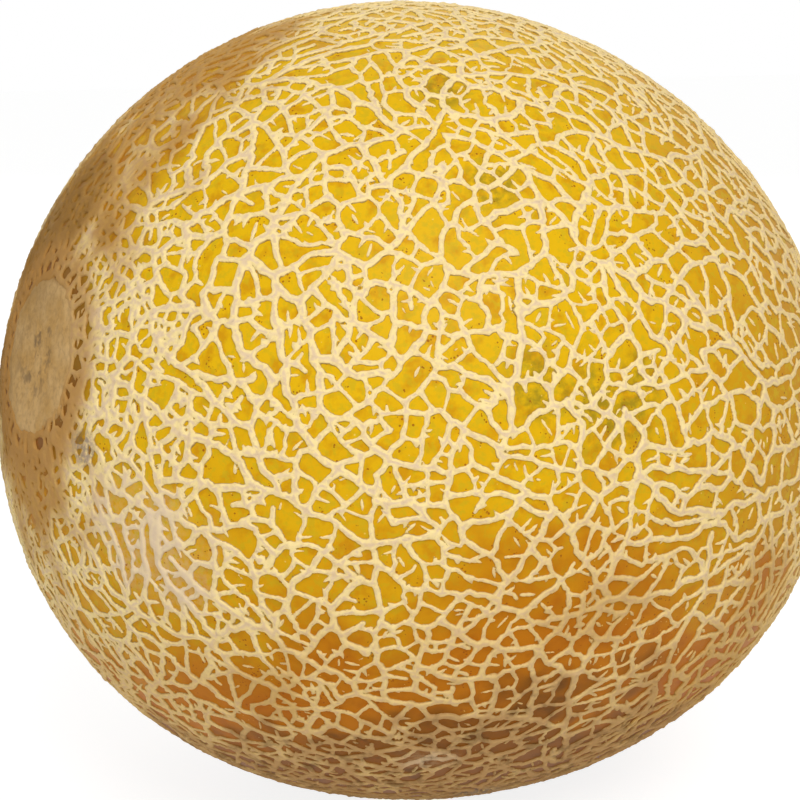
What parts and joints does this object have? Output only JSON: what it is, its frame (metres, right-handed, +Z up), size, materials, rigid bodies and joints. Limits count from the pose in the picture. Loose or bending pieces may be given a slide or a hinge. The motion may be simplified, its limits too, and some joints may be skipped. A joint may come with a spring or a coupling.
{
  "type": "galia melon",
  "caption": "Whole netted melon, a slightly long round fruit with a flat corky disc at its blossom end, lying on a small flat spot.",
  "frame": {"origin": "on the ground plane, under the centre of the fruit's bounding box", "axes": "+Z up; the blossom end points along -X, tipped up 13 degrees, and the stem end along +X"},
  "size_m": [0.1478, 0.1368, 0.1375],
  "materials": {
    "rind": "smooth, slightly glossy yellow skin",
    "cork_net": "raised matte cork net, cream"
  },
  "bodies": {
    "root": {"melon": "rind"}
  },
  "joints": []
}
